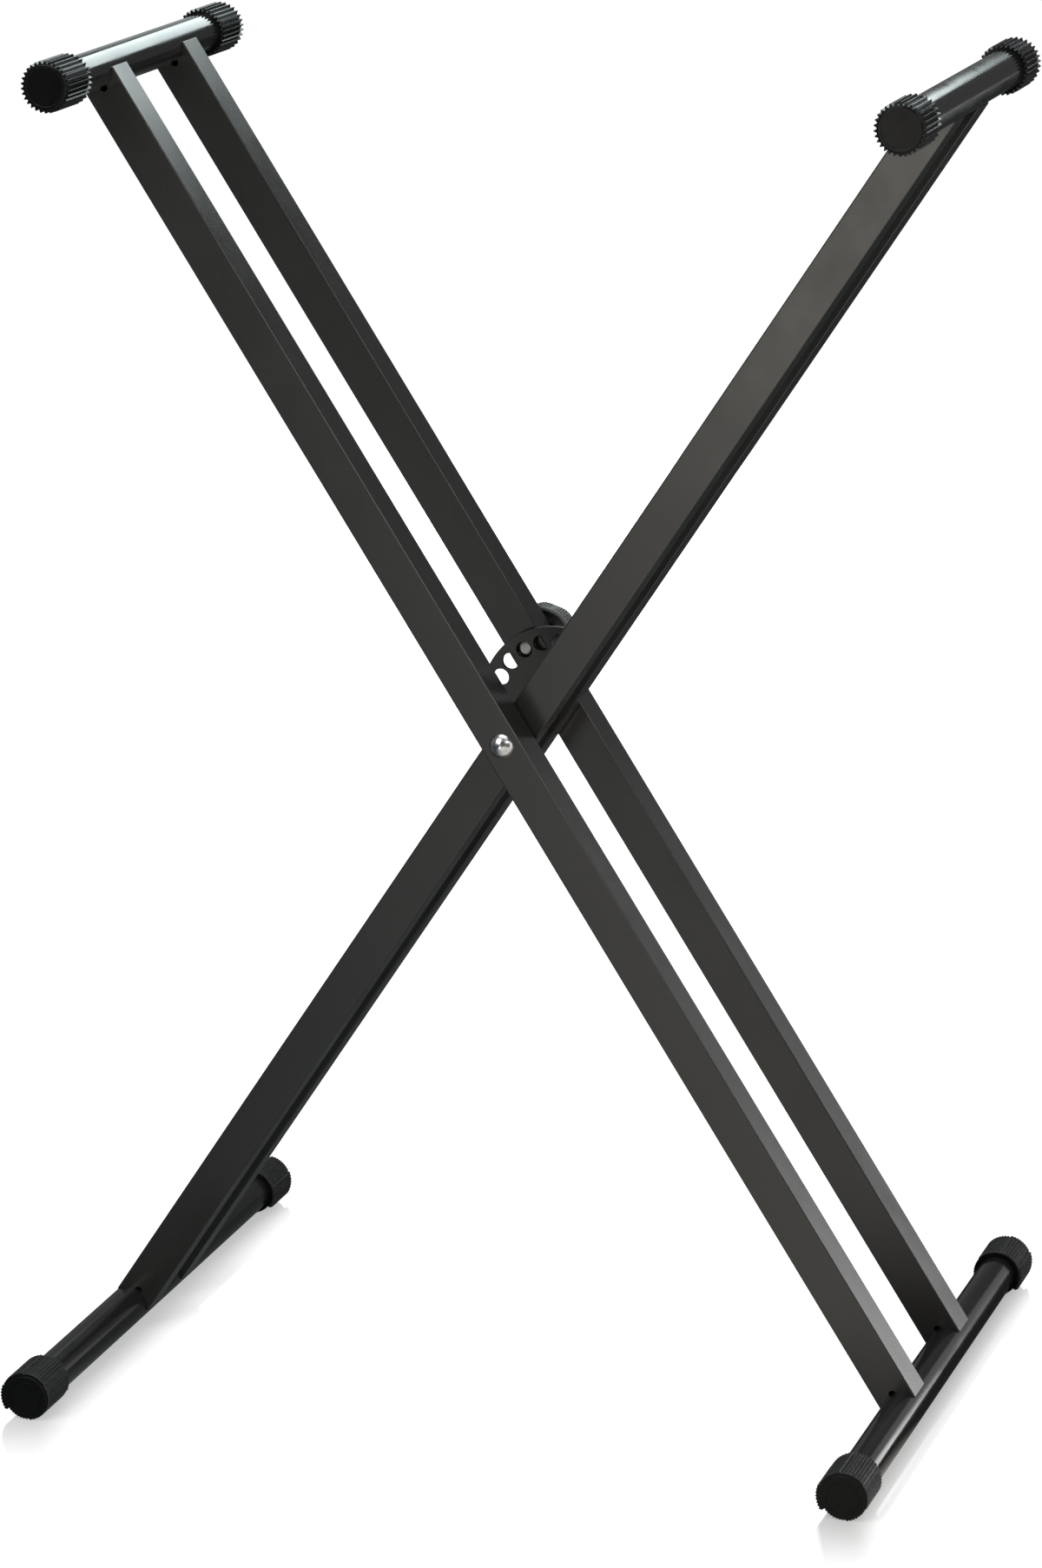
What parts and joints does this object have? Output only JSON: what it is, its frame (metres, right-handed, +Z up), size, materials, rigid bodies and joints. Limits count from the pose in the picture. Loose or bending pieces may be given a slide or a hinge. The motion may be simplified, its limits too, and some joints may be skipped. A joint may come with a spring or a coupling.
{
  "type": "keyboard stand",
  "caption": "Folding X-frame keyboard stand with paired square legs, round rails, ribbed end caps and a sprung pull-knob height lock.",
  "frame": {"origin": "on the floor, under the middle of the stand's bounding box", "axes": "+Z up, +Y along the rails from front to rear, +X across the crossing legs"},
  "size_m": [0.5804, 0.4572, 0.8703],
  "materials": {
    "leg_paint": "satin black paint",
    "rail_paint": "semi-gloss black paint",
    "plate_paint": "satin black paint",
    "grip_rubber": "matt black",
    "foot_rubber": "matt black",
    "bolt_chrome": "polished",
    "zinc_steel": "zinc plated",
    "black_nylon": "matt",
    "knob_plastic": "satin black"
  },
  "bodies": {
    "outer_frame": {"outer_leg_front": "leg_paint", "outer_leg_rear": "leg_paint", "outer_top_rail": "rail_paint", "outer_base_rail": "rail_paint", "outer_top_cap_front": "grip_rubber", "outer_top_cap_rear": "grip_rubber", "pivot_bolt": "bolt_chrome", "pivot_nut": "zinc_steel", "pivot_washer_front": "black_nylon", "pivot_washer_rear": "black_nylon", "lock_housing": "zinc_steel", "lock_spring": "zinc_steel"},
    "inner_frame": {"inner_leg_front": "leg_paint", "inner_leg_rear": "leg_paint", "inner_top_rail": "rail_paint", "inner_base_rail": "rail_paint", "inner_top_cap_front": "grip_rubber", "inner_top_cap_rear": "grip_rubber", "lock_plate": "plate_paint", "pivot_spacer": "black_nylon"},
    "lock_plunger": {"lock_pin": "zinc_steel", "lock_knob": "knob_plastic"},
    "outer_foot_front": {"outer_base_cap_front": "foot_rubber"},
    "outer_foot_rear": {"outer_base_cap_rear": "foot_rubber"},
    "inner_foot_front": {"inner_base_cap_front": "foot_rubber"},
    "inner_foot_rear": {"inner_base_cap_rear": "foot_rubber"}
  },
  "joints": [
    {"name": "fold", "type": "hinge", "parent": "outer_frame", "child": "inner_frame", "pos_m": [0, 0, 0.4346], "axis": [0, 1, 0], "range_deg": [-61.5, 36]},
    {"name": "lock_pull", "type": "slide", "parent": "outer_frame", "child": "lock_plunger", "axis": [0, -1, 0], "range_m": [-0.004, 0.0047], "stiffness_N_per_m": 1500, "springref_m": 0.0107, "deforming": ["lock_spring"]},
    {"name": "outer_foot_front_turn", "type": "hinge", "parent": "outer_frame", "child": "outer_foot_front", "pos_m": [0.27232, -0.2109, 0.01527], "axis": [0, 1, 0], "continuous": true},
    {"name": "outer_foot_rear_turn", "type": "hinge", "parent": "outer_frame", "child": "outer_foot_rear", "pos_m": [0.27232, 0.2109, 0.01527], "axis": [0, 1, 0], "continuous": true},
    {"name": "inner_foot_front_turn", "type": "hinge", "parent": "inner_frame", "child": "inner_foot_front", "pos_m": [-0.27232, -0.2109, 0.01527], "axis": [0, 1, 0], "continuous": true},
    {"name": "inner_foot_rear_turn", "type": "hinge", "parent": "inner_frame", "child": "inner_foot_rear", "pos_m": [-0.27232, 0.2109, 0.01527], "axis": [0, 1, 0], "continuous": true}
  ]
}
